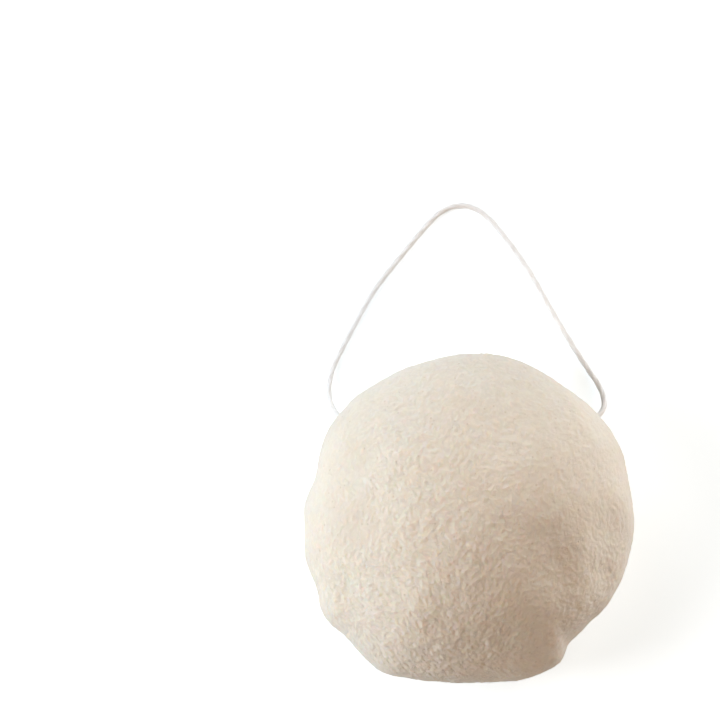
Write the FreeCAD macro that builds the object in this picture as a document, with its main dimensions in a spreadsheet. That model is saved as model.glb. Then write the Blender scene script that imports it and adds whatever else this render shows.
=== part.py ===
import FreeCAD, Part
import math
import os
import Sketcher
from FreeCAD import Placement, Rotation, Vector

# A half-ball face sponge of konjac fibre, with a cotton cord threaded through it as a hanging loop.
# Millimetres, +Z up. The origin is the middle of the flat foot, and the loop lies on the +Y side.

# Driving dimensions, one spreadsheet cell each.
SIZES = {
    # the puff
    "sponge_width": 80,
    "sponge_depth": 80,
    "sponge_height": 45,
    "waist_height": 14,
    "foot_width": 60,
    "foot_trim": 0.5,
    "crown_shift_left": 3,
    "crown_shift_back": 2,
    # the cord and the channel that it runs through
    "cord_diameter": 1.3,
    "channel_setback": 25,
    "channel_height": 5,
    "channel_clearance": 0.1,
    "mouth_inset": 1.2,
    "exit_run": 3.2,
    # the knot that closes the loop, and its pocket in the puff
    "knot_diameter": 4.2,
    "knot_length": 5.2,
    "knot_round": 1,
    "tail_length": 4,
    "tail_gap": 0.1,
    "pocket_clearance": 0.3,
    # how far a cutting tool runs past what it cuts
    "overrun": 5,
}

# The puff's outline from above. Each row has an angle in degrees from +X, then the shares of the half
# width and half depth that the outline reaches there, at the waist and at the shoulder.
OUTLINE_SHARES = [
    (0, 1.000, 0.985),
    (25, 1.006, 1.000),
    (55, 0.970, 0.985),
    (80, 0.992, 1.000),
    (105, 0.980, 1.000),
    (140, 1.000, 1.010),
    (164, 0.968, 1.000),
    (184, 1.000, 1.010),
    (207, 1.022, 1.015),
    (220, 1.050, 1.015),
    (240, 1.054, 1.000),
    (258, 1.010, 0.985),
    (275, 0.996, 0.965),
    (296, 1.028, 0.955),
    (313, 0.968, 0.940),
    (336, 0.990, 0.955),
]

# Rings of the puff, in degrees round the quarter ellipse below the waist and the one above it.
LOWER_TURNS = (0, 30, 60)
UPPER_TURNS = (0, 20, 38, 54, 68, 80)
# The outline has its shoulder shares from this turn upwards.
SHOULDER_TURN = 38

# Slow swells and hollows of the dome. Each lies along the line between two places, which are shares of
# the half width and half depth. Then come its half breadth as a share of the half width, and its height
# out of the plain dome as a share of the puff's height.
SWELL_SHARES = [
    # the left flank, flatter than a ball's
    ((-0.64, 0.20), (-0.62, -0.42), 0.21, -0.034),
    # two bulges, in front of the crown and to its right
    ((-0.05, -0.18), (0.00, -0.42), 0.21, 0.022),
    ((0.43, 0.20), (0.45, -0.10), 0.21, 0.024),
    # hollows at the right rim and over the front lip
    ((0.83, -0.20), (0.80, -0.35), 0.15, -0.018),
    ((0.08, -0.85), (0.30, -0.83), 0.15, -0.011),
    # the shoulder at the back on the right
    ((0.35, 0.72), (0.55, 0.60), 0.20, 0.009),
]

# The free loop from each mouth to its top. Each point says how far it lies outward of its mouth, how
# far ahead of the channel, and how high the cord's underside is above the floor.
LEFT_ARM = [
    (5.9, 1.8, 3.9),
    (7.4, 4.9, 2.8),
    (7.7, 9.2, 1.1),
    (6.8, 14.0, 0.2),
    (4.2, 19.4, 0),
    (0.7, 26.2, 0),
    (-3.6, 34.2, 0),
    (-9.7, 42.0, 0),
    (-15.6, 49.2, 0),
    (-19.8, 53.9, 0),
    (-23.6, 56.4, 0),
]
RIGHT_ARM = [
    (6.0, 1.7, 3.9),
    (7.6, 4.8, 2.8),
    (7.4, 9.0, 1.0),
    (4.8, 13.8, 0.1),
    (0.3, 21.6, 0),
    (-4.6, 30.4, 0),
    (-9.0, 39.3, 0),
    (-15.2, 48.4, 0),
    (-19.8, 54.0, 0),
    (-24.0, 56.5, 0),
]

doc = FreeCAD.newDocument("sponge")
sheet = doc.addObject("Spreadsheet::Sheet", "sizes")


def set_cell(name, value):
    """Put a size in the sheet's next row, under its name."""
    row = len(sheet.getUsedCells()) // 2 + 1
    sheet.set(f"A{row}", name)
    sheet.set(f"B{row}", str(value))
    sheet.setAlias(f"B{row}", name)
    doc.recompute()


def size(name):
    """A size as the sheet holds it."""
    return float(sheet.get(name))


def bind(thing, **formulas):
    """Bind properties to the sheet; two underscores in a name stand for a dot."""
    for name, formula in formulas.items():
        thing.setExpression(name.replace("__", "."), formula)


# Curves made of arcs


def heading_at(before, point, after):
    """The direction of the curve at a point between two others."""
    into = point - before
    out = after - point
    return (into / into.dot(into) + out / out.dot(out)).normalize()


def smooth_ring(points):
    """A closed wire of arcs through points, which run on into each other."""
    ahead = points[1:] + points[:1]
    behind = points[-1:] + points[:-1]
    headings = [heading_at(*three) for three in zip(behind, points, ahead)]
    edges = []
    for start, heading, end, end_heading in zip(points, headings, ahead, headings[1:] + headings[:1]):
        bulge = (heading - end_heading) * start.distanceToPoint(end) / 8
        edges.append(Part.Arc(start, (start + end) / 2 + bulge, end).toShape())
    return Part.Wire(edges)


def rounded_route(points):
    """A wire of straight runs joined by arcs as large as the runs allow, and the arcs' radii."""
    tangent_share = 0.45
    edges = []
    radii = []
    here = points[0]
    for before, corner, after in zip(points, points[1:], points[2:]):
        into = corner - before
        out = after - corner
        half_turn = into.getAngle(out) / 2
        reach = tangent_share * min(into.Length, out.Length)
        radii.append(reach / math.tan(half_turn))
        into.normalize()
        out.normalize()
        middle = corner + (out - into).normalize() * (radii[-1] * (1 / math.cos(half_turn) - 1))
        edges.append(Part.LineSegment(here, corner - into * reach).toShape())
        edges.append(Part.Arc(corner - into * reach, middle, corner + out * reach).toShape())
        here = corner + out * reach
    edges.append(Part.LineSegment(here, points[-1]).toShape())
    return Part.Wire(edges), radii


# The puff: rings from the foot over the waist to the crown


def side_share(turn):
    """The share of the half width that the drawn-in side has, a turn up from its lowest edge."""
    floor_turn = math.acos(1 - size("foot_trim") / (size("waist_height") + size("foot_trim")))
    foot_share = size("foot_width") / size("sponge_width")
    return 1 - (1 - foot_share) * (1 - math.sin(turn)) / (1 - math.sin(floor_turn))


def ring_points(height, reach_share, shoulder_share, shift_share):
    """One ring of the puff as points at a height."""
    middle = Vector(-size("crown_shift_left"), size("crown_shift_back"), 0) * shift_share
    points = []
    for angle, waist_share, upper_share in OUTLINE_SHARES:
        share = reach_share * (waist_share + (upper_share - waist_share) * shoulder_share)
        x = size("sponge_width") / 2 * share * math.cos(math.radians(angle))
        y = size("sponge_depth") / 2 * share * math.sin(math.radians(angle))
        points.append(middle + Vector(x, y, height))
    return points


def lower_ring(degrees):
    """A ring of the drawn-in side below the waist."""
    turn = math.radians(degrees)
    rise = size("waist_height") + size("foot_trim")
    return ring_points(rise * (1 - math.cos(turn)) - size("foot_trim"), side_share(turn), 0, 0)


def swell_at(place):
    """How far the dome swells out of its plain form at a place seen from above."""
    half_width = size("sponge_width") / 2
    half_depth = size("sponge_depth") / 2
    total = 0
    for start_shares, end_shares, breadth_share, height_share in SWELL_SHARES:
        start = Vector(start_shares[0] * half_width, start_shares[1] * half_depth, 0)
        end = Vector(end_shares[0] * half_width, end_shares[1] * half_depth, 0)
        run = end - start
        along_share = (place - start).dot(run) / run.dot(run)
        nearest = start + run * min(1, max(0, along_share))
        distance = place.distanceToPoint(nearest) / (breadth_share * half_width)
        total += height_share * size("sponge_height") * math.exp(-distance ** 2)
    return total


def upper_ring(degrees):
    """A ring of the dome above the waist, which leans towards the crown and has the swells."""
    turn = math.radians(degrees)
    rise = size("sponge_height") - size("waist_height")
    height = size("waist_height") + rise * math.sin(turn)
    plain = ring_points(height, math.cos(turn), min(1, degrees / SHOULDER_TURN), 1 - math.cos(turn))
    points = []
    for point in plain:
        sideways = Vector(point.x, point.y, 0)
        outward = sideways.normalize() * math.cos(turn) + Vector(0, 0, 1) * math.sin(turn)
        points.append(point + outward * swell_at(Vector(point.x, point.y, 0)))
    return points


def mouth_reach():
    """How far from the middle the channel's axis comes out of the drawn-in side."""
    rise = size("waist_height") + size("foot_trim")
    turn = math.acos(1 - (size("channel_height") + size("foot_trim")) / rise)
    setback_share = size("channel_setback") / (size("sponge_depth") / 2)
    return size("sponge_width") / 2 * math.sqrt(side_share(turn) ** 2 - setback_share ** 2)


def along_channel(thing, start_formula):
    """Lay a cylinder on the channel's axis, pointing along +X from a start."""
    thing.Placement = Placement(Vector(0, 0, 0), Rotation(Vector(0, 0, 1), Vector(1, 0, 0)))
    bind(
        thing,
        Placement__Base__x=start_formula,
        Placement__Base__y="sizes.channel_setback",
        Placement__Base__z="sizes.channel_height",
    )


def make_sponge_body():
    """The puff of konjac foam, with its flat foot, its cord channel and the knot's pocket."""
    rings = [lower_ring(turn) for turn in LOWER_TURNS] + [upper_ring(turn) for turn in UPPER_TURNS]
    sections = []
    for points in rings:
        section = doc.addObject("Part::Feature", "ring")
        section.Shape = smooth_ring(points)
        sections.append(section)
    crown = doc.addObject("Part::Vertex", "crown")
    bind(crown, X="-sizes.crown_shift_left", Y="sizes.crown_shift_back", Z="sizes.sponge_height")
    puff = doc.addObject("Part::Loft", "puff")
    puff.Sections = sections + [crown]
    puff.Solid = True

    floor = doc.addObject("Part::Box", "floor")
    bind(
        floor,
        Length="sizes.sponge_width + 2 * sizes.overrun",
        Width="sizes.sponge_depth + 2 * sizes.overrun",
        Height="sizes.foot_trim + sizes.overrun",
        Placement__Base__x="-sizes.sponge_width / 2 - sizes.overrun",
        Placement__Base__y="-sizes.sponge_depth / 2 - sizes.overrun",
        Placement__Base__z="-sizes.foot_trim - sizes.overrun",
    )
    channel = doc.addObject("Part::Cylinder", "channel")
    bind(
        channel,
        Radius="sizes.cord_diameter / 2 + sizes.channel_clearance",
        Height="sizes.sponge_width + 2 * sizes.overrun",
    )
    along_channel(channel, "-sizes.sponge_width / 2 - sizes.overrun")
    pocket = doc.addObject("Part::Cylinder", "pocket")
    half_pocket = "sizes.knot_length / 2 + sizes.tail_length + sizes.pocket_clearance"
    bind(
        pocket,
        Radius="sizes.knot_diameter / 2 + sizes.pocket_clearance",
        Height=f"2 * ({half_pocket})",
    )
    along_channel(pocket, f"-({half_pocket})")
    cuts = doc.addObject("Part::MultiFuse", "cuts")
    cuts.Shapes = [floor, channel, pocket]
    body = doc.addObject("Part::Cut", "sponge_body")
    body.Base = puff
    body.Tool = cuts
    return body


# The cord: threaded through the channel, knotted inside it and free outside


def make_threaded_cord(name, start_formula):
    """A stretch of cord inside the channel, between the knot and a mouth."""
    cord = doc.addObject("Part::Cylinder", name)
    bind(cord, Radius="sizes.cord_diameter / 2", Height="sizes.threaded_reach - sizes.knot_length / 2")
    along_channel(cord, start_formula)
    return cord


def attached_sketch(body, name, role):
    """A sketch on one of a body's own origin planes."""
    sketch = body.newObject("Sketcher::SketchObject", name)
    plane = next(plane for plane in body.Origin.OriginFeatures if plane.Role == role)
    sketch.AttachmentSupport = [(plane, "")]
    sketch.MapMode = "FlatFace"
    return sketch


def constrain(sketch, formula, *constraint):
    """Add a dimension to a sketch and bind it to the sheet."""
    index = sketch.addConstraint(Sketcher.Constraint(*constraint))
    sketch.setExpression(f"Constraints[{index}]", formula)


def draw_disc(sketch, diameter, offset=None):
    """A round section, in the middle of the sketch or at an offset up its upright axis."""
    centre, origin, upright = 3, (-1, 1), -2
    height = size(offset) if offset else 0
    ring = sketch.addGeometry(Part.Circle(Vector(0, height, 0), Vector(0, 0, 1), size(diameter) / 2))
    if offset:
        sketch.addConstraint(Sketcher.Constraint("PointOnObject", ring, centre, upright))
        constrain(sketch, f"sizes.{offset}", "DistanceY", *origin, ring, centre, height)
    else:
        sketch.addConstraint(Sketcher.Constraint("Coincident", ring, centre, *origin))
    constrain(sketch, f"sizes.{diameter}", "Diameter", ring, size(diameter))


def pad_disc(body, name, length_formula, diameter, offset=None):
    """A round bar along the channel, as long to the left as to the right."""
    section = attached_sketch(body, f"{name}_section", "YZ_Plane")
    draw_disc(section, diameter, offset)
    bar = body.newObject("PartDesign::Pad", name)
    bar.Profile = section
    bar.SideType = "Symmetric"
    bind(bar, Length=length_formula)
    return bar


def make_cord_knot():
    """The drawn-up knot: a barrel with rounded shoulders on the cord, and a tail out of each end."""
    body = doc.addObject("PartDesign::Body", "cord_knot")
    barrel = pad_disc(body, "barrel", "sizes.knot_length", "knot_diameter")
    doc.recompute()
    edges = enumerate(barrel.Shape.Edges, start=1)
    rims = [f"Edge{number}" for number, edge in edges if isinstance(edge.Curve, Part.Circle)]
    shoulders = body.newObject("PartDesign::Fillet", "shoulders")
    shoulders.Base = (barrel, rims)
    bind(shoulders, Radius="sizes.knot_round")
    pad_disc(body, "tails", "sizes.knot_length + 2 * sizes.tail_length", "cord_diameter", "tail_offset")
    bind(body, Placement__Base__y="sizes.channel_setback", Placement__Base__z="sizes.channel_height")
    return body


def arm_points(arm, side):
    """One arm of the free loop, from its threaded end to its top; side is -1 on the left."""
    reach = size("threaded_reach")
    ahead = size("channel_setback")
    axis_height = size("channel_height")
    points = [
        Vector(side * reach, ahead, axis_height),
        Vector(side * (reach + size("exit_run")), ahead, axis_height),
    ]
    for outward, forward, lift in arm:
        points.append(Vector(side * (reach + outward), ahead + forward, lift + size("cord_diameter") / 2))
    return points


def make_hanging_loop():
    """The free cord, out of the left mouth, along the floor behind the puff and into the right mouth."""
    points = arm_points(LEFT_ARM, -1) + arm_points(RIGHT_ARM, 1)[::-1]
    wire, radii = rounded_route(points)
    print("loop length", round(wire.Length, 1), "radii", [round(radius, 1) for radius in radii])
    route = doc.addObject("Part::Feature", "loop_route")
    route.Shape = wire
    section = doc.addObject("Part::Circle", "loop_section")
    bind(section, Radius="sizes.cord_diameter / 2")
    section.Placement = Placement(points[0], Rotation(Vector(0, 0, 1), points[1] - points[0]))
    loop = doc.addObject("Part::Sweep", "hanging_loop")
    loop.Sections = [section]
    loop.Spine = (route, [f"Edge{number + 1}" for number in range(len(wire.Edges))])
    loop.Solid = True
    return loop


for name, value in SIZES.items():
    set_cell(name, value)
set_cell("threaded_reach", mouth_reach() - size("mouth_inset"))
set_cell("tail_offset", size("cord_diameter") + size("tail_gap"))

sub_parts = [
    make_sponge_body(),
    make_threaded_cord("threaded_cord_left", "-sizes.threaded_reach"),
    make_threaded_cord("threaded_cord_right", "sizes.knot_length / 2"),
    make_cord_knot(),
    make_hanging_loop(),
]
doc.recompute()

for thing in doc.Objects:
    if {"Invalid", "Error"} & set(thing.State):
        raise RuntimeError(f"{thing.Name} failed: {thing.State}")
for part in sub_parts:
    if part.Shape.isNull() or not part.Shape.isValid() or len(part.Shape.Solids) != 1:
        raise RuntimeError(f"{part.Label} is not one valid solid")
    box = part.Shape.BoundBox
    low = [round(value, 2) for value in (box.XMin, box.YMin, box.ZMin)]
    high = [round(value, 2) for value in (box.XMax, box.YMax, box.ZMax)]
    print(part.Label, "volume", round(part.Shape.Volume, 1), "from", low, "to", high)
loop, route = sub_parts[-1], doc.getObject("loop_route")
section_area = math.pi * size("cord_diameter") ** 2 / 4
print("loop volume over section times length", round(loop.Shape.Volume / section_area / route.Shape.Length, 4))

os.makedirs("parts", exist_ok=True)
for part in sub_parts:
    part.Shape.exportStep(f"parts/{part.Label}.step")
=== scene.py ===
import math

import bpy
import numpy as np
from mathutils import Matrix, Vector, noise


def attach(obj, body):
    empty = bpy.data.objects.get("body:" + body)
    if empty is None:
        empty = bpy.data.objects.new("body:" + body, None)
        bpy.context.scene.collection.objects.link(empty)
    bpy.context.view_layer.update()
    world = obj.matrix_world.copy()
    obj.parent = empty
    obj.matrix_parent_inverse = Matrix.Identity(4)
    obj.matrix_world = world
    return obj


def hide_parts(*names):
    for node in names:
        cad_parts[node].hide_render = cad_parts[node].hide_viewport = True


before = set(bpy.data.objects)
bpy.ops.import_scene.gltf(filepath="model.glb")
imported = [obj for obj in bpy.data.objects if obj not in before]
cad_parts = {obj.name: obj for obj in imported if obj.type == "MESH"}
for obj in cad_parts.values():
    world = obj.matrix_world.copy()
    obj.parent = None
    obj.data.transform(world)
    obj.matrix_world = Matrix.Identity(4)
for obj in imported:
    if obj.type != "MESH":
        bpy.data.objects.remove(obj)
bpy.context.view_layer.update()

# A half-ball konjac sponge with its hanging cord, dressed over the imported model. Metres, +Z up.

MM = 0.001

# Sizes of the puff, as in the part's source
SPONGE_WIDTH = 80 * MM
SPONGE_DEPTH = 80 * MM
SPONGE_HEIGHT = 45 * MM
WAIST_HEIGHT = 14 * MM
FOOT_WIDTH = 60 * MM
FOOT_TRIM = 0.5 * MM
CROWN_SHIFT = np.array((-3, 2)) * MM

# The puff's outline from above: angle in degrees from +X, then the shares of the half width that the
# outline reaches there at the waist and at the shoulder
OUTLINE_SHARES = [
    (0, 0.990, 0.985),
    (12, 0.980, 0.990),
    (24, 1.002, 1.000),
    (40, 0.986, 0.995),
    (54, 0.957, 0.985),
    (66, 0.966, 0.990),
    (78, 0.985, 1.000),
    (92, 0.970, 1.000),
    (118, 0.958, 0.995),
    (138, 0.984, 1.005),
    (151, 0.988, 1.005),
    (159, 0.964, 1.005),
    (166, 0.954, 1.000),
    (176, 0.988, 1.005),
    (185, 0.986, 1.008),
    (193, 1.008, 1.010),
    (206, 1.012, 1.012),
    (215, 1.058, 1.012),
    (224, 1.036, 1.012),
    (232, 1.050, 1.008),
    (241, 1.064, 1.000),
    (251, 1.028, 0.990),
    (264, 0.998, 0.975),
    (276, 1.004, 0.962),
    (294, 1.036, 0.955),
    (302, 1.022, 0.949),
    (307, 0.966, 0.944),
    (312, 0.957, 0.940),
    (319, 0.957, 0.942),
    (325, 0.978, 0.948),
    (333, 0.994, 0.957),
    (346, 1.000, 0.970),
]
SHOULDER_TURN = math.radians(34)

# Slow swells and hollows of this puff. Each follows a line of places seen from above, and has a half
# breadth and a height out of the surface, all in millimetres.
SWELLS = [
    # the left flank, flatter than a ball's
    ([(-25.5, 8), (-25, -17)], 8.4, -1.55),
    # the crown, and two bulges in front of it and to its right
    ([(-5, 3), (3, 3)], 8, 0.6),
    ([(-2, -7), (0, -17)], 8.5, 1.0),
    ([(14, 8), (16, -1)], 8, 1.3),
    # hollows: a narrow one in front of the right bulge, one at the right rim and one over the front lip
    ([(18, -9.8), (20, -15.8)], 5.2, -0.8),
    ([(33, -8), (32, -14)], 6, -1.2),
    ([(3, -34), (12, -33)], 6, -0.5),
    # shoulders at the back on the right and at the front on the left
    ([(14, 29), (22, 24)], 8, 0.4),
    ([(-12, -24), (-15, -30)], 6, 0.5),
]
# The swells rise to their full height between these heights over the floor
SWELL_START = 5 * MM
SWELL_FULL = 15 * MM

# How far apart along X, Y and Z the noise of one seed lies from the next seed's
SEED_STEP = (7.31, 3.17, 5.71)
# The seed of noise vectors, which would otherwise start from the clock and differ in each run
VECTOR_SEED = 1

# Waves of the whole puff, of its felt and of its foot: wavelength and height in millimetres, and a seed
BROAD_WAVES = [(22, 0.35, 3), (9, 0.25, 5)]
FELT_WAVES = [(0.75, 0.105, 37), (3.5, 0.2, 43), (1.8, 0.1, 47)]
FOOT_WAVES = [(6, 0.18, 61)]

# The felt's strands: their height, and fields of them by the distance between strands in millimetres and
# a seed
STRAND_HEIGHT = 0.165 * MM
STRAND_FIELDS = [(2.1, 11), (1.6, 23), (1.6, 53), (1.25, 71)]

# The felt's pits, with the noise values at which they begin and are full, and the distance between the
# foam's small pores
PIT_DEPTH = 0.12 * MM
PIT_SPACING = 1.7 * MM
PIT_SEED = 41
PIT_START = 0.45
PIT_FULL = 0.65
PORE_SPACING = 2.3 * MM

# How much weaker the felt is on the flanks, to the right, at the back and on the front lip
FLANK_LOSS_SHARE = 0.38
RIGHT_LOSS_SHARE = 0.28
BACK_LOSS_SHARE = 0.18
LIP_LOSS_SHARE = 0.38

# The mouths where the cord leaves the puff: places, and the dimple's radius and depth
MOUTHS = np.array([(-27.385, 25, 5), (27.385, 25, 5)]) * MM
DIMPLE_RADIUS = 2.2 * MM
DIMPLE_DEPTH = 0.9 * MM
# The folds round a mouth, as a number and a share of the dimple's depth
PUCKERS = 7
PUCKER_SHARE = 0.25
# The raised rim round a mouth, as shares of the dimple's radius and depth
RIM_REACH_SHARE = 1.8
RIM_BREADTH_SHARE = 0.6
RIM_HEIGHT_SHARE = 0.3

# The puff's mesh: the distance between rings, how far down from the crown the rings still gain points,
# and the sectors that gain one point each from ring to ring
RING_STEP = 0.39 * MM
GAINING_REACH = 45 * MM
SECTORS = 6
FOOT_RING_SHARES = (0.985, 0.94, 0.85, 0.7, 0.5, 0.25)
FOOT_HOLLOW = 0.6 * MM
# The lowest felt settles to a clean edge within this height
SETTLE_HEIGHT = 2 * MM

# The cord, with its route in millimetres
CORD_ROUTE = [
    (-26.185, 25, 5),
    (-29.385, 25, 5),
    (-32.085, 26.8, 4.55),
    (-33.585, 29.9, 3.45),
    (-33.885, 34.2, 1.75),
    (-32.985, 39, 0.9),
    (-30.385, 44.4, 0.74),
    (-26.885, 51.2, 0.74),
    (-22.585, 59.2, 0.74),
    (-16.485, 67, 0.74),
    (-10.585, 74.4, 0.74),
    (-6.585, 78.9, 0.74),
    (-2.785, 81, 0.74),
    (1.885, 81, 0.74),
    (6.085, 78.3, 0.74),
    (10.485, 72.9, 0.74),
    (16.485, 64.1, 0.74),
    (20.985, 55.3, 0.74),
    (25.985, 46.5, 0.74),
    (30.685, 38.8, 0.85),
    (33.685, 34, 1.65),
    (34.585, 29.6, 3.35),
    (33.385, 26.5, 4.55),
    (29.385, 25, 5),
    (26.185, 25, 5),
]
ROUTE_STEPS = 12
CORD_STRANDS = 3
CORD_LAY = 12 * MM
CORD_STRAND_RADIUS = 0.52 * MM
CORD_STRAND_OFFSET = 0.2 * MM
CORD_STEP = 0.35 * MM
CORD_SIDES = 12
# The strands are thicker and thinner by this share, in waves of this length
UNEVEN_SHARE = 0.06
UNEVEN_WAVE = 3 * MM

# Colours, and ramps of them as positions and colours
BLACK = (0, 0, 0)
WHITE = (1, 1, 1)
FOAM_TONES = [(0.32, (0.888, 0.8, 0.668)), (0.68, (0.903, 0.83, 0.707))]
# Painted shade in the hollows between the felt's strands, lightening to a painted highlight on them
STRAND_PAINTED_LIGHT = [(0, (0.93, 0.926, 0.92)), (0.9, WHITE)]
# Painted highlights on the felt's flecks
FLECK_HIGHLIGHT_TONES = [(0, (0.932, 0.93, 0.926)), (1, WHITE)]
FLECK_LINES = [(0.43, BLACK), (0.5, WHITE), (0.57, BLACK)]
FLECK_PATCHES = [(0.46, BLACK), (0.6, WHITE)]
# Painted shade in the middles of the foam's small pores
PORE_SHADE_TONES = [(0.05, (0.87, 0.84, 0.79)), (0.14, WHITE)]
FOAM_SHEEN = (0.8, 0.92, 1)
COTTON_TONES = [(0.3, (0.89, 0.888, 0.88)), (0.7, (0.93, 0.93, 0.925))]
FIBRE_TONES = [(0.35, (0.95, 0.945, 0.935)), (0.6, WHITE)]

# The floor: its half width and colour, and the glow that it shows the camera, which turns to white between
# two distances from the middle
FLOOR_REACH = 4
FLOOR_COLOUR = (0.75, 0.75, 0.75)
FLOOR_GLOW = (0.5456, 0.6014, 0.62)
GLOW_START = 0.15
GLOW_END = 0.75

# The even light all round, and the lamps: a name, degrees round from +X and up from the floor, the power
# in watts and the colour
WORLD_LIGHT = 0.02
WORLD_COLOUR = (1, 0.9, 0.78)
LAMP_DISTANCE = 700 * MM
LAMP_SIZE = 350 * MM
LAMPS = [
    ("key_high", 185, 32, 4.15, (0.96, 0.965, 1)),
    ("key_low", 180, 12, 0.75, (0.66, 0.9, 1)),
    ("fill_low", 45, 12, 2.5, (0.96, 0.98, 1)),
    ("fill_high", 45, 35, 0.8, (1, 0.95, 0.88)),
    ("front", 315, 35, 0.78, (1, 0.54, 0.18)),
    ("right_low", 0, 12, 1.35, (0.6, 0.8, 1)),
    ("top", 0, 60, 0.42, (1, 0.48, 0.12)),
    ("back", 120, 32, 0.92, (0.82, 0.9, 1)),
]

# The camera; its lens and sensor are in millimetres
CAMERA_ELEVATION = math.radians(78)
CAMERA_TARGET = Vector((-26.09, 40.21, 5)) * MM
CAMERA_DISTANCE = 594.1 * MM
CAMERA_NEAR = 10 * MM
CAMERA_LENS = 120
CAMERA_SENSOR = 36


# Meshes


def mesh_object(name, points, faces):
    """A smooth-shaded mesh object in the scene."""
    mesh = bpy.data.meshes.new(name)
    mesh.from_pydata([tuple(point) for point in points], [], faces)
    mesh.update()
    mesh.polygons.foreach_set("use_smooth", [True] * len(mesh.polygons))
    thing = bpy.data.objects.new(name, mesh)
    bpy.context.scene.collection.objects.link(thing)
    return thing


def point_values(thing, name, values):
    """Keep a number for each point of a mesh, which its material reads by name."""
    attribute = thing.data.attributes.new(name, "FLOAT", "POINT")
    attribute.data.foreach_set("value", values.astype(np.float32))


def point_normals(points, triangles):
    """Unit normals of a triangle mesh at its points."""
    corners = points[triangles]
    across = np.cross(corners[:, 1] - corners[:, 0], corners[:, 2] - corners[:, 0])
    normals = np.zeros_like(points)
    for corner in range(3):
        np.add.at(normals, triangles[:, corner], across)
    return normals / np.linalg.norm(normals, axis=1)[:, None]


def seed_shift(seed):
    """A place in the noise that belongs to a seed."""
    return Vector([step * seed for step in SEED_STEP])


def noise_at(points, wavelength, seed):
    """Smooth noise from about -1 to 1 at points."""
    shift = seed_shift(seed)
    return np.array([noise.noise(Vector(point) / wavelength + shift) for point in points])


def noise_vectors(points, wavelength, seed):
    """Smooth noise vectors at points."""
    noise.seed_set(VECTOR_SEED)
    shift = seed_shift(seed)
    return np.array([noise.noise_vector(Vector(point) / wavelength + shift) for point in points])


def waves(points, rows):
    """The sum of waves at points, in metres; a row is a wavelength and a height in millimetres and a seed."""
    total = np.zeros(len(points))
    for wavelength, height, seed in rows:
        total += height * MM * noise_at(points, wavelength * MM, seed)
    return total


def smooth_step(values, low, high):
    """0 below low, 1 above high and a smooth rise between them."""
    share = np.clip((values - low) / (high - low), 0, 1)
    return share * share * (3 - 2 * share)


# The puff


def outline_share(angles, column):
    """The outline's share at angles in radians, on a smooth closed curve through the table's rows."""
    knots = np.radians([row[0] for row in OUTLINE_SHARES])
    shares = np.array([row[column] for row in OUTLINE_SHARES])
    turn = 2 * math.pi
    knots = np.concatenate([knots[-2:] - turn, knots, knots[:2] + turn])
    shares = np.concatenate([shares[-2:], shares, shares[:2]])
    slopes = np.gradient(shares, knots)
    angles = angles % turn
    place = np.clip(np.searchsorted(knots, angles, side="right") - 1, 1, len(knots) - 3)
    span = knots[place + 1] - knots[place]
    share = (angles - knots[place]) / span
    rise = share * share * (3 - 2 * share)
    start = share * (1 - share) ** 2 * slopes[place] * span
    end = share * share * (share - 1) * slopes[place + 1] * span
    return shares[place] + rise * (shares[place + 1] - shares[place]) + start + end


def side_profile():
    """The puff's side from the crown to the foot's edge: for each of many turns the height, the share of
    the half width, the shoulder's share and the crown shift's share."""
    steps = 400
    upper = np.linspace(math.pi / 2, 0, steps)
    rise = WAIST_HEIGHT + FOOT_TRIM
    floor_turn = math.acos(1 - FOOT_TRIM / rise)
    lower = np.linspace(math.pi / 2, floor_turn, steps)[1:]
    foot_share = FOOT_WIDTH / SPONGE_WIDTH
    height = np.concatenate(
        [
            WAIST_HEIGHT + (SPONGE_HEIGHT - WAIST_HEIGHT) * np.sin(upper),
            rise * (1 - np.cos(lower)) - FOOT_TRIM,
        ]
    )
    drawn_in = 1 - (1 - foot_share) * (1 - np.sin(lower)) / (1 - math.sin(floor_turn))
    reach = np.concatenate([np.cos(upper), drawn_in])
    shoulder = np.concatenate([smooth_step(upper, 0, SHOULDER_TURN), np.zeros(len(lower))])
    shift = np.concatenate([1 - np.cos(upper), np.zeros(len(lower))])
    return np.stack([height, reach, shoulder, shift])


def puff_lattice():
    """Rings of points from the crown down: each point's profile values and angle, the triangles, each
    point's way down, and the first point of the last ring."""
    profile = side_profile()
    way = np.hypot(np.diff(profile[0]), np.diff(profile[1]) * SPONGE_WIDTH / 2)
    downs = np.concatenate([[0], np.cumsum(way)])
    rings = round(downs[-1] / RING_STEP)
    gaining = round(GAINING_REACH / RING_STEP)
    counts = [1] + [SECTORS * min(ring, gaining) for ring in range(1, rings + 1)]
    starts = np.concatenate([[0], np.cumsum(counts)])
    ring_of = np.repeat(np.arange(rings + 1), counts)
    angles = 2 * math.pi * (np.arange(starts[-1]) - starts[ring_of]) / np.array(counts)[ring_of]
    triangles = []
    for ring in range(rings):
        inner, outer = counts[ring], counts[ring + 1]
        first, second = starts[ring], starts[ring + 1]
        if inner == outer:
            step = np.arange(inner)
            ahead = (step + 1) % inner
            triangles.append(np.stack([first + step, second + step, second + ahead], 1))
            triangles.append(np.stack([first + step, second + ahead, first + ahead], 1))
            continue
        for sector in range(SECTORS):
            step = np.arange(ring + 1)
            out = sector * (ring + 1) + step
            inside = sector * ring + step
            near = first + (inside % inner)
            triangles.append(np.stack([near, second + out % outer, second + (out + 1) % outer], 1))
            near, far = first + inside[:-1] % inner, first + (inside[:-1] + 1) % inner
            triangles.append(np.stack([near, second + (out[:-1] + 1) % outer, far], 1))
    down = downs[-1] * ring_of / rings
    values = [np.interp(down, downs, row) for row in profile]
    return values, angles, np.concatenate(triangles), down, starts[-2]


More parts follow.
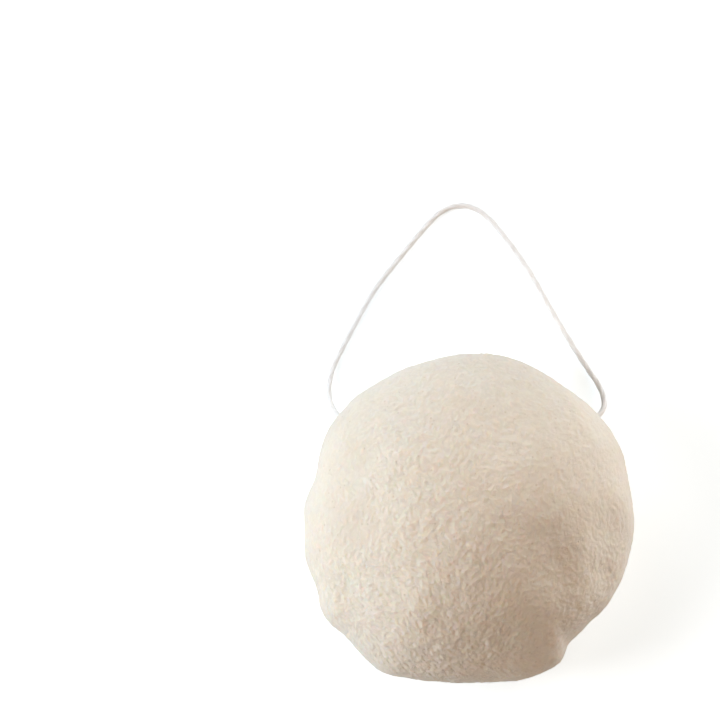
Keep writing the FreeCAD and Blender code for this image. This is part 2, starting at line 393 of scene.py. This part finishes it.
def puff_points(values, angles):
    """The plain puff's points."""
    height, reach, shoulder, shift = values
    waist_share = outline_share(angles, 1)
    share = reach * (waist_share + (outline_share(angles, 2) - waist_share) * shoulder)
    x = SPONGE_WIDTH / 2 * share * np.cos(angles) + CROWN_SHIFT[0] * shift
    y = SPONGE_DEPTH / 2 * share * np.sin(angles) + CROWN_SHIFT[1] * shift
    return np.stack([x, y, height], 1)


def line_distance(places, line):
    """The distance of places in the plane from a line of straight runs."""
    nearest = np.full(len(places), np.inf)
    for start, end in zip(line, line[1:]):
        run = end - start
        share = np.clip((places - start) @ run / (run @ run), 0, 1)
        nearest = np.minimum(nearest, np.linalg.norm(places - start - share[:, None] * run, axis=1))
    return nearest


def slow_swells(points):
    """How far the puff's swells, hollows and broad waves move points out of the plain form, in metres."""
    total = np.zeros(len(points))
    for line, breadth, height in SWELLS:
        distance = line_distance(points[:, :2], np.array(line) * MM)
        total += height * MM * np.exp(-((distance / (breadth * MM)) ** 2))
    dome = smooth_step(points[:, 2], SWELL_START, SWELL_FULL)
    return total * dome + waves(points, BROAD_WAVES)


def mouth_dimples(points):
    """How far the puckered dimples round the cord's mouths move points, in metres."""
    total = np.zeros(len(points))
    for mouth in MOUTHS:
        apart = points - mouth
        distance = np.linalg.norm(apart, axis=1)
        turn = np.arctan2(apart[:, 2], apart[:, 1])
        pucker = 1 + PUCKER_SHARE * np.cos(PUCKERS * turn) * smooth_step(distance, 0, DIMPLE_RADIUS)
        total -= DIMPLE_DEPTH * pucker * np.exp(-((distance / DIMPLE_RADIUS) ** 2))
        rim = (distance - RIM_REACH_SHARE * DIMPLE_RADIUS) / (RIM_BREADTH_SHARE * DIMPLE_RADIUS)
        total += RIM_HEIGHT_SHARE * DIMPLE_DEPTH * np.exp(-(rim**2))
    return total


def strand_field(points, size, seed):
    """Short crooked ridges like strands of felt, from 0 to 1; the size is the distance between them."""
    bend = 0.4 * size
    bend_wave = 0.5 * size
    gap_wave = 0.55 * size
    ridge_breadth = 0.22
    gap_end = 0.35
    bent = points + bend * noise_vectors(points, bend_wave, seed)
    ridge = np.exp(-((noise_at(bent, size, seed + 1) / ridge_breadth) ** 2))
    return ridge * smooth_step(noise_at(points, gap_wave, seed + 2), 0, gap_end)


def felt_share(points):
    """How strongly the felt shows: most in front of the crown, less to the right and the back, and least
    on the flanks and the front lip."""
    x, y, z = points.T
    flanks = smooth_step(np.abs(x), 18 * MM, 28 * MM) * smooth_step(y, -18 * MM, -4 * MM)
    right = smooth_step(x, 4 * MM, 16 * MM)
    back = smooth_step(y, 8 * MM, 24 * MM)
    lip = smooth_step(-y, 16 * MM, 28 * MM) * (1 - smooth_step(z, 10 * MM, 26 * MM))
    losses = [
        FLANK_LOSS_SHARE * flanks,
        RIGHT_LOSS_SHARE * right,
        BACK_LOSS_SHARE * back,
        LIP_LOSS_SHARE * lip,
    ]
    return 1 - np.maximum.reduce(losses)


def felt_relief(points):
    """The foam's fine surface: the strands' shares, and the relief of strands, few pits, grains and low
    clouds, in metres out of the surface."""
    strands = np.maximum.reduce([strand_field(points, size * MM, seed) for size, seed in STRAND_FIELDS])
    pits = smooth_step(noise_at(points, PIT_SPACING, PIT_SEED), PIT_START, PIT_FULL)
    return strands, STRAND_HEIGHT * strands - PIT_DEPTH * pits + waves(points, FELT_WAVES)


def foot_rings(rim_points, first):
    """Rings of points from the foot's rim to its middle, slightly hollow, and their triangles."""
    columns = len(rim_points)
    rings = []
    for share in FOOT_RING_SHARES:
        ring = rim_points * share
        ring[:, 2] = FOOT_HOLLOW * smooth_step(np.full(columns, 1 - share), 0, 0.5)
        ring[:, 2] += (1 - share) * waves(ring, FOOT_WAVES)
        rings.append(ring)
    points = np.concatenate(rings + [[[0, 0, FOOT_HOLLOW]]])
    step = np.arange(columns)
    ahead = (step + 1) % columns
    triangles = []
    for ring in range(len(FOOT_RING_SHARES)):
        outer = first - columns + ring * columns
        inner = outer + columns
        triangles.append(np.stack([outer + step, inner + step, inner + ahead], 1))
        triangles.append(np.stack([outer + step, inner + ahead, outer + ahead], 1))
    last = first + (len(FOOT_RING_SHARES) - 1) * columns
    middle = np.full(columns, first + len(points) - 1)
    triangles.append(np.stack([last + step, middle, last + ahead], 1))
    return points, np.concatenate(triangles)


def puff_map(thing, downs, angles, dome_faces):
    """A flat map of the puff: the dome as one disc, with the foot as a small disc in the corner."""
    dome_middle, dome_radius = 0.44, 0.43
    foot_middle, foot_radius = 0.91, 0.075
    foot_room = 1.1 * FOOT_WIDTH / 2
    mesh = thing.data
    reach = dome_radius * downs / downs.max()
    dome = dome_middle + reach[:, None] * np.stack([np.cos(angles), np.sin(angles)], 1)
    points = np.array([vertex.co for vertex in mesh.vertices])
    foot = foot_middle + foot_radius * points[:, :2] / foot_room
    corners = np.zeros(len(mesh.loops), dtype=np.int32)
    mesh.loops.foreach_get("vertex_index", corners)
    places = np.empty((len(corners), 2))
    split = 3 * dome_faces
    places[:split] = dome[corners[:split]]
    places[split:] = foot[corners[split:]]
    layer = mesh.uv_layers.new(name="OFBake")
    layer.uv.foreach_set("vector", places.ravel())


def make_puff():
    """The sponge: a soft dome with slow lumps and a felted surface of konjac strands."""
    values, angles, triangles, downs, rim_start = puff_lattice()
    points = puff_points(values, angles)
    normals = point_normals(points, triangles)
    moves = slow_swells(points) + mouth_dimples(points)
    points = points + normals * moves[:, None]
    normals = point_normals(points, triangles)
    felt = felt_share(points)
    strands, relief = felt_relief(points)
    settle = felt * smooth_step(points[:, 2], 0, SETTLE_HEIGHT)
    points = points + normals * (relief * settle)[:, None]
    points[rim_start:, 2] = 0
    points[:, 2] = np.maximum(points[:, 2], 0)
    foot_points, foot_triangles = foot_rings(points[rim_start:], len(points))
    faces = np.concatenate([triangles, foot_triangles])
    thing = mesh_object("konjac_puff", np.concatenate([points, foot_points]), faces.tolist())
    # The strands' shares, which the foam turns into painted highlight on the strands and painted shade
    # between
    point_values(thing, "strands", np.concatenate([strands * felt, np.zeros(len(foot_points))]))
    point_values(thing, "felt", np.concatenate([felt, np.ones(len(foot_points))]))
    puff_map(thing, downs, angles, len(triangles))
    return thing


# The cord


def route_line():
    """Points along the smooth line that has the cord's route as its control points."""
    curve = bpy.data.curves.new("cord_line", "CURVE")
    curve.dimensions = "3D"
    curve.resolution_u = ROUTE_STEPS
    spline = curve.splines.new("NURBS")
    spline.points.add(len(CORD_ROUTE) - 1)
    for control, place in zip(spline.points, CORD_ROUTE):
        control.co = (*(np.array(place) * MM), 1)
    spline.order_u = 3
    spline.use_endpoint_u = True
    holder = bpy.data.objects.new("cord_line", curve)
    bpy.context.scene.collection.objects.link(holder)
    bpy.context.view_layer.update()
    mesh = bpy.data.meshes.new_from_object(holder.evaluated_get(bpy.context.evaluated_depsgraph_get()))
    line = np.array([vertex.co for vertex in mesh.vertices])
    bpy.data.objects.remove(holder)
    bpy.data.curves.remove(curve)
    bpy.data.meshes.remove(mesh)
    return line


def across_line(line):
    """Two directions across a line at each of its points, which don't spin about it."""
    headings = np.gradient(line, axis=0)
    headings /= np.linalg.norm(headings, axis=1)[:, None]
    across = np.zeros_like(line)
    across[0] = np.cross(headings[0], (0, 0, 1))
    for place in range(1, len(line)):
        moved = across[place - 1] - headings[place] * np.dot(across[place - 1], headings[place])
        across[place] = moved / np.linalg.norm(moved)
    return across, np.cross(headings, across)


def make_cord():
    """The hanging cord: twisted cotton strands along the route."""
    line = route_line()
    way = np.concatenate([[0], np.cumsum(np.linalg.norm(np.diff(line, axis=0), axis=1))])
    even = np.linspace(0, way[-1], round(way[-1] / CORD_STEP))
    line = np.stack([np.interp(even, way, line[:, axis]) for axis in range(3)], 1)
    across, up = across_line(line)
    points = []
    faces = []
    for strand in range(CORD_STRANDS):
        turn = 2 * math.pi * (even / CORD_LAY + strand / CORD_STRANDS)
        outward = across * np.cos(turn)[:, None] + up * np.sin(turn)[:, None]
        middle = line + outward * CORD_STRAND_OFFSET
        along = np.gradient(middle, axis=0)
        along /= np.linalg.norm(along, axis=1)[:, None]
        sideways = np.cross(along, outward)
        start = len(points)
        for place in range(len(line)):
            uneven = noise.noise(Vector((even[place] / UNEVEN_WAVE, 5 * strand, 0)))
            radius = CORD_STRAND_RADIUS * (1 + UNEVEN_SHARE * uneven)
            for side in range(CORD_SIDES):
                angle = 2 * math.pi * side / CORD_SIDES
                way_out = outward[place] * math.cos(angle) + sideways[place] * math.sin(angle)
                points.append(middle[place] + way_out * radius)
        for place in range(len(line) - 1):
            for side in range(CORD_SIDES):
                here = start + place * CORD_SIDES + side
                beside = start + place * CORD_SIDES + (side + 1) % CORD_SIDES
                faces.append((here, beside, beside + CORD_SIDES, here + CORD_SIDES))
        last = start + (len(line) - 1) * CORD_SIDES
        faces.append(tuple(start + side for side in reversed(range(CORD_SIDES))))
        faces.append(tuple(last + side for side in range(CORD_SIDES)))
    thing = mesh_object("hanging_cord", points, faces)
    strand_map(thing, len(line))
    return thing, line


def strand_map(thing, places):
    """A flat map of the strands: each is one long strip, and its two ends are small discs beyond it."""
    strip_length, strip_margin, strip_breadth = 0.95, 0.04, 0.92
    start_disc, end_disc = 0.985, 0.965
    disc_length, disc_breadth = 0.005, 0.02
    mesh = thing.data
    layer = mesh.uv_layers.new(name="OFBake")
    for polygon in mesh.polygons:
        first_side = mesh.loops[polygon.loop_start].vertex_index % CORD_SIDES
        for loop in polygon.loop_indices:
            strand, within = divmod(mesh.loops[loop].vertex_index, places * CORD_SIDES)
            place, side = divmod(within, CORD_SIDES)
            if polygon.loop_total > 4:
                turn = 2 * math.pi * side / CORD_SIDES
                along = (end_disc if place else start_disc) + disc_length * math.cos(turn)
                around = (strand + 0.5) / CORD_STRANDS + disc_breadth * math.sin(turn)
            else:
                wraps = side == 0 and first_side == CORD_SIDES - 1
                share = (side + CORD_SIDES * wraps) / CORD_SIDES
                along = strip_length * place / (places - 1)
                around = (strand + strip_margin + strip_breadth * share) / CORD_STRANDS
            layer.uv[loop].vector = (along, around)


# Materials


def new_material(name):
    """A material with nodes, its node tree and its shader."""
    material = bpy.data.materials.new(name)
    material.use_nodes = True
    tree = material.node_tree
    return material, tree, tree.nodes["Principled BSDF"]


def set_inputs(node, values):
    """Set a node's inputs by their names."""
    for name, value in values.items():
        node.inputs[name].default_value = value


def noise_node(tree, place, wavelength, detail):
    """Noise in the object's own space, with a wavelength in metres."""
    node = tree.nodes.new("ShaderNodeTexNoise")
    set_inputs(node, {"Scale": 1 / wavelength, "Detail": detail})
    tree.links.new(place.outputs["Object"], node.inputs["Vector"])
    return node


def ramp(tree, value, stops):
    """The colour of a ramp over a value, from positions and colours."""
    node = tree.nodes.new("ShaderNodeValToRGB")
    elements = node.color_ramp.elements
    while len(elements) < len(stops):
        elements.new(0.5)
    for element, (position, colour) in zip(elements, stops):
        element.position = position
        element.color = (*colour, 1)
    tree.links.new(value, node.inputs["Fac"])
    return node.outputs["Color"]


def multiply(tree, first, second):
    """The product of two colours."""
    node = tree.nodes.new("ShaderNodeMix")
    node.data_type = "RGBA"
    node.blend_type = "MULTIPLY"
    node.inputs["Factor"].default_value = 1
    tree.links.new(first, node.inputs["A"])
    tree.links.new(second, node.inputs["B"])
    return node.outputs["Result"]


def kept_values(tree, name):
    """The numbers that a mesh keeps for its points under a name."""
    node = tree.nodes.new("ShaderNodeAttribute")
    node.attribute_name = name
    return node.outputs["Fac"]


def bump(tree, height, strength, distance, under=None):
    """The normal of a bump from a height, laid over another bump where there is one."""
    node = tree.nodes.new("ShaderNodeBump")
    set_inputs(node, {"Strength": strength, "Distance": distance})
    tree.links.new(height, node.inputs["Height"])
    if under:
        tree.links.new(under, node.inputs["Normal"])
    return node.outputs["Normal"]


def flecks_value(tree, place):
    """Short crooked flecks, from 0 to 1, which the foam takes as fine bumps and as painted highlights."""
    crooked = noise_node(tree, place, 0.62 * MM, 1)
    crooked.inputs["Distortion"].default_value = 0.8
    lines = ramp(tree, crooked.outputs["Fac"], FLECK_LINES)
    patches = noise_node(tree, place, 1.2 * MM, 1)
    shown = ramp(tree, patches.outputs["Fac"], FLECK_PATCHES)
    return multiply(tree, multiply(tree, lines, shown), kept_values(tree, "felt"))


def pores_shade_colour(tree, place):
    """Scattered small pores: painted shade darkens their middles, with white around them."""
    cells = tree.nodes.new("ShaderNodeTexVoronoi")
    cells.inputs["Scale"].default_value = 1 / PORE_SPACING
    tree.links.new(place.outputs["Object"], cells.inputs["Vector"])
    return ramp(tree, cells.outputs["Distance"], PORE_SHADE_TONES)


def foam_material():
    """Pale konjac foam: patches of warmer tone; strands and flecks painted lighter as painted highlights,
    with painted shade between the strands and in the pores' middles; and a soft sheen.
    """
    material, tree, shader = new_material("konjac_foam")
    place = tree.nodes.new("ShaderNodeTexCoord")
    broad = noise_node(tree, place, 9 * MM, 2)
    tone = ramp(tree, broad.outputs["Fac"], FOAM_TONES)
    # Painted shade between the strands and a painted highlight on their tops, by the strands' shares
    colour = multiply(tree, tone, ramp(tree, kept_values(tree, "strands"), STRAND_PAINTED_LIGHT))
    flecks = flecks_value(tree, place)
    # The flecks are painted lighter: a painted highlight on the felt
    colour = multiply(tree, colour, ramp(tree, flecks, FLECK_HIGHLIGHT_TONES))
    # The pores' middles are painted darker: painted shade in the small sunken pores
    pores = pores_shade_colour(tree, place)
    colour = multiply(tree, colour, pores)
    tree.links.new(colour, shader.inputs["Base Color"])
    grain = noise_node(tree, place, 0.4 * MM, 2)
    grain_bump = bump(tree, grain.outputs["Fac"], 0.4, 0.1 * MM)
    fleck_bump = bump(tree, flecks, 0.7, 0.12 * MM, grain_bump)
    pore_bump = bump(tree, pores, 0.6, 0.5 * MM, fleck_bump)
    tree.links.new(pore_bump, shader.inputs["Normal"])
    looks = {
        "Roughness": 0.85,
        "Specular IOR Level": 0.2,
        "Sheen Weight": 0.3,
        "Sheen Roughness": 0.6,
        "Sheen Tint": (*FOAM_SHEEN, 1),
        "Subsurface Weight": 0.35,
        "Subsurface Radius": (1.0, 0.55, 0.3),
        "Subsurface Scale": 2 * MM,
    }
    set_inputs(shader, looks)
    return material


def cotton_material():
    """Off-white cotton: fine fibres along the strands, faint streaks and a soft sheen."""
    material, tree, shader = new_material("cotton_cord")
    place = tree.nodes.new("ShaderNodeTexCoord")
    streaks = noise_node(tree, place, 2.5 * MM, 2)
    tone = ramp(tree, streaks.outputs["Fac"], COTTON_TONES)
    stretch = tree.nodes.new("ShaderNodeMapping")
    set_inputs(stretch, {"Scale": (120, 60, 1), "Rotation": (0, 0, 0.35)})
    tree.links.new(place.outputs["UV"], stretch.inputs["Vector"])
    fibres = tree.nodes.new("ShaderNodeTexNoise")
    set_inputs(fibres, {"Scale": 1, "Detail": 2})
    tree.links.new(stretch.outputs["Vector"], fibres.inputs["Vector"])
    colour = multiply(tree, tone, ramp(tree, fibres.outputs["Fac"], FIBRE_TONES))
    tree.links.new(colour, shader.inputs["Base Color"])
    fuzz = noise_node(tree, place, 0.15 * MM, 2)
    fuzz_bump = bump(tree, fuzz.outputs["Fac"], 0.4, 0.05 * MM)
    fibre_bump = bump(tree, fibres.outputs["Fac"], 0.5, 0.06 * MM, fuzz_bump)
    tree.links.new(fibre_bump, shader.inputs["Normal"])
    looks = {
        "Roughness": 0.8,
        "Specular IOR Level": 0.25,
        "Sheen Weight": 0.15,
        "Sheen Roughness": 0.5,
    }
    set_inputs(shader, looks)
    return material


# Stage, light and camera


def seen_value(tree):
    """1 for rays that show a surface to the camera, also in gloss and glass, and 0 for light."""
    path = tree.nodes.new("ShaderNodeLightPath")
    total = path.outputs["Is Camera Ray"]
    for name in ("Is Glossy Ray", "Is Transmission Ray"):
        most = tree.nodes.new("ShaderNodeMath")
        most.operation = "MAXIMUM"
        tree.links.new(total, most.inputs[0])
        tree.links.new(path.outputs[name], most.inputs[1])
        total = most.outputs["Value"]
    return total


def show_seen(tree, plain, seen, output):
    """Send one shader to the output for light, and another where the camera sees the surface."""
    mix = tree.nodes.new("ShaderNodeMixShader")
    tree.links.new(seen_value(tree), mix.inputs["Fac"])
    tree.links.new(plain, mix.inputs[1])
    tree.links.new(seen, mix.inputs[2])
    tree.links.new(mix.outputs["Shader"], tree.nodes[output].inputs["Surface"])


def make_floor():
    """A plain pale floor, which shows white to the camera apart from the object's soft shadow."""
    reach = FLOOR_REACH
    corners = [(-reach, -reach, 0), (reach, -reach, 0), (reach, reach, 0), (-reach, reach, 0)]
    floor = mesh_object("studio_floor", corners, [(0, 1, 2, 3)])
    material, tree, shader = new_material("studio_floor")
    set_inputs(shader, {"Base Color": (*FLOOR_COLOUR, 1), "Roughness": 1, "Specular IOR Level": 0})
    place = tree.nodes.new("ShaderNodeTexCoord")
    distance = tree.nodes.new("ShaderNodeVectorMath")
    distance.operation = "LENGTH"
    tree.links.new(place.outputs["Object"], distance.inputs[0])
    fade = tree.nodes.new("ShaderNodeMapRange")
    set_inputs(fade, {"From Min": GLOW_START, "From Max": GLOW_END})
    tree.links.new(distance.outputs["Value"], fade.inputs["Value"])
    glow = tree.nodes.new("ShaderNodeEmission")
    glow_colour = ramp(tree, fade.outputs["Result"], [(0, FLOOR_GLOW), (1, WHITE)])
    tree.links.new(glow_colour, glow.inputs["Color"])
    both = tree.nodes.new("ShaderNodeAddShader")
    tree.links.new(shader.outputs["BSDF"], both.inputs[0])
    tree.links.new(glow.outputs["Emission"], both.inputs[1])
    show_seen(tree, shader.outputs["BSDF"], both.outputs["Shader"], "Material Output")
    floor.data.materials.append(material)


def make_lamp(name, azimuth, elevation, power, colour):
    """A square soft lamp that faces the puff, by degrees round from +X and up from the floor."""
    turn, rise = math.radians(azimuth), math.radians(elevation)
    flat = math.cos(rise)
    place = LAMP_DISTANCE * Vector((math.cos(turn) * flat, math.sin(turn) * flat, math.sin(rise)))
    lamp = bpy.data.lights.new(name, "AREA")
    lamp.size = LAMP_SIZE
    lamp.energy = power
    lamp.color = colour
    thing = bpy.data.objects.new(name, lamp)
    thing.location = place
    aim = Vector((0, 0, SPONGE_HEIGHT / 2)) - place
    thing.rotation_euler = aim.to_track_quat("-Z", "Y").to_euler()
    thing.visible_camera = False
    bpy.context.scene.collection.objects.link(thing)


def make_camera():
    """The photograph's view: from above, tilted a little towards the front."""
    camera = bpy.data.cameras.new("camera")
    camera.lens = CAMERA_LENS
    camera.sensor_width = CAMERA_SENSOR
    camera.clip_start = CAMERA_NEAR
    thing = bpy.data.objects.new("camera", camera)
    back = Vector((0, -math.cos(CAMERA_ELEVATION), math.sin(CAMERA_ELEVATION)))
    thing.location = CAMERA_TARGET + back * CAMERA_DISTANCE
    thing.rotation_euler = back.to_track_quat("Z", "Y").to_euler()
    bpy.context.scene.collection.objects.link(thing)
    bpy.context.scene.camera = thing


def set_world():
    """Dim even light all round, and white where the camera sees past the floor."""
    world = bpy.data.worlds.new("studio")
    bpy.context.scene.world = world
    world.use_nodes = True
    tree = world.node_tree
    light = tree.nodes["Background"]
    set_inputs(light, {"Color": (*WORLD_COLOUR, 1), "Strength": WORLD_LIGHT})
    white = tree.nodes.new("ShaderNodeBackground")
    set_inputs(white, {"Color": (*WHITE, 1), "Strength": 1})
    show_seen(tree, light.outputs["Background"], white.outputs["Background"], "World Output")


make_camera()
bpy.context.scene.view_settings.view_transform = "Standard"
set_world()
make_floor()
for row in LAMPS:
    make_lamp(*row)

foam = foam_material()
cotton = cotton_material()

puff = make_puff()
puff.data.materials.append(foam)
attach(puff, "puff")
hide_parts("sponge_body")

cord, cord_line = make_cord()
cord.data.materials.append(cotton)
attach(cord, "loop")
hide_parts("hanging_loop")

for inner in ("threaded_cord_left", "threaded_cord_right", "cord_knot"):
    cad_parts[inner].data.materials.clear()
    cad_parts[inner].data.materials.append(cotton)
